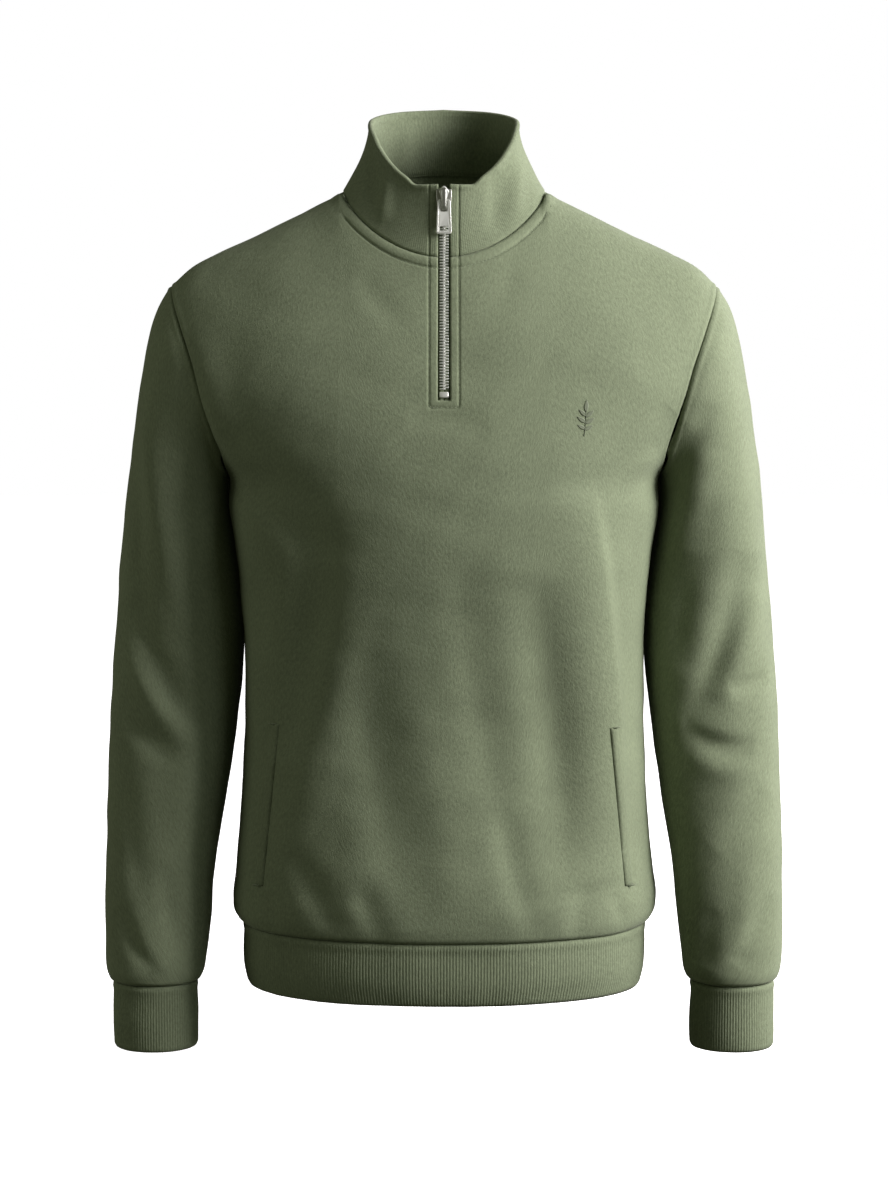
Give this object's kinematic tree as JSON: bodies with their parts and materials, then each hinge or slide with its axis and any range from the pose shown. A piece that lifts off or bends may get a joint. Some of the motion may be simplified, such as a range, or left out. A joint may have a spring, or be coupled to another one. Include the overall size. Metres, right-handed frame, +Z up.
{
  "type": "quarter zip sweater",
  "caption": "Long-sleeved sweatshirt filled out as worn, with a stand collar, short metal zip with hinged pull, rib cuffs and hem, and slanted side pockets.",
  "frame": {"origin": "middle of the neck at shoulder height, where the garment hangs on its wearer", "axes": "+X to the right of someone facing the front, -Y out of the front with the zip, +Z up to the collar"},
  "size_m": [0.5766, 0.244, 0.7918],
  "materials": {
    "jersey": "matt sage green brushed cotton jersey with a fine upright wale",
    "rib": "matt sage green fine rib knit",
    "collar_rib": "matt sage green fine rib knit, two layers with a folded top edge",
    "welt": "matt sage green jersey, folded",
    "zip_tape": "matt green woven tape",
    "zip_metal": "bright nickel"
  },
  "bodies": {
    "garment": {"front_panel": "jersey", "back_panel": "jersey", "sleeve_left": "jersey", "sleeve_right": "jersey", "cuff_left": "rib", "cuff_right": "rib", "hem_band": "rib", "collar": "collar_rib", "pocket_welt_left": "welt", "pocket_welt_right": "welt", "zip_tape_left": "zip_tape", "zip_tape_right": "zip_tape", "zip_chain": "zip_metal", "zip_bottom_stop": "zip_metal", "zip_slider": "zip_metal"},
    "pull": {"zip_pull_tab": "zip_metal"}
  },
  "joints": [
    {"name": "pull_swing", "type": "hinge", "parent": "garment", "child": "pull", "pos_m": [0, -0.07015, -0.00671], "axis": [-1, 0, 0], "range_deg": [0, 150]}
  ]
}
